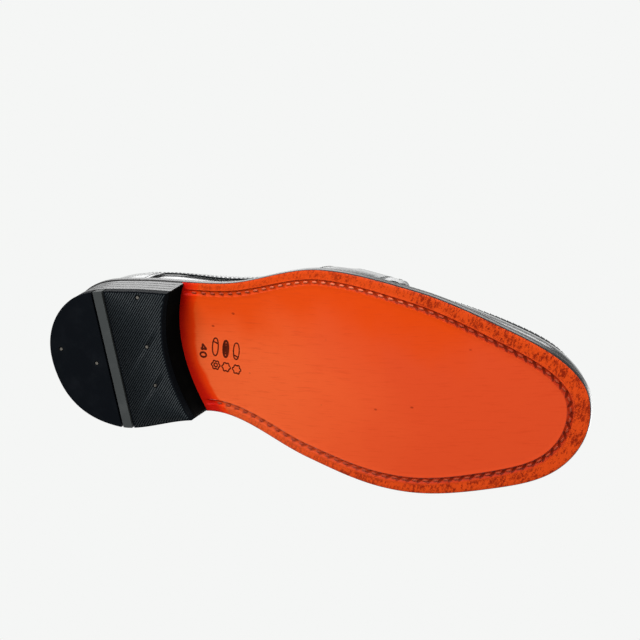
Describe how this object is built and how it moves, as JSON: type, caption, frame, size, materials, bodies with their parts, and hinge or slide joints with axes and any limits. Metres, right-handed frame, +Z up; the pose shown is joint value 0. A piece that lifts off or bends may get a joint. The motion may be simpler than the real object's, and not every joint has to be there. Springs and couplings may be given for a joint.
{
  "type": "penny loafer",
  "caption": "Men's slip-on dress shoe for the right foot: glossy black upper with a moccasin apron, slotted saddle strap and tongue, stitched leather sole and stacked heel.",
  "frame": {"origin": "centre of the bounding box in plan, on the ground that the heel and the tread stand on", "axes": "+Z up, +X from the heel to the toe along the shoe, +Y towards the inner (medial) side of this right shoe"},
  "size_m": [0.283, 0.1059, 0.1052],
  "materials": {
    "black_leather": "polished black calf with a high gloss",
    "edge_leather": "black burnished leather edge, faint stacked lines",
    "sole_leather": "orange-red veg-tanned sole leather, smooth semi-gloss with fine lengthwise grain",
    "lining_leather": "matt black lining leather",
    "rubber": "matt black rubber, finely ribbed in front and smooth at the back",
    "grey_rubber": "smooth dark grey rubber",
    "cork": "granular cork filler",
    "fibre_board": "pressed fibre board",
    "steel": "brushed spring steel",
    "brass": "dull brass nail heads",
    "black_thread": "waxed black thread",
    "brown_thread": "waxed brown thread"
  },
  "bodies": {
    "root": {"heel_top_rear": "rubber", "heel_top_bar": "grey_rubber", "heel_top_front": "rubber", "outsole": "sole_leather", "outsole_stitch": "brown_thread", "welt": "edge_leather", "heel_rand": "edge_leather", "welt_stitch": "black_thread", "cork_filler": "cork", "shank": "steel", "insole": "fibre_board", "sock_lining": "lining_leather", "heel_pad": "lining_leather", "vamp": "black_leather", "apron": "black_leather", "apron_seam": "black_leather", "toe_puff": "fibre_board", "vamp_lining": "lining_leather", "quarter_lateral": "black_leather", "quarter_medial": "black_leather", "heel_counter": "fibre_board", "quarter_lining": "lining_leather", "heel_strap": "black_leather", "collar_strip": "black_leather", "topline_binding": "black_leather", "tongue": "black_leather", "tongue_lining": "lining_leather", "saddle_strap": "black_leather", "heel_nail_1": "brass", "heel_nail_2": "brass", "heel_nail_3": "brass", "heel_nail_4": "brass", "heel_nail_5": "brass", "heel_lift_1": "edge_leather", "heel_lift_2": "edge_leather", "heel_lift_3": "edge_leather", "heel_lift_4": "edge_leather"}
  },
  "joints": []
}
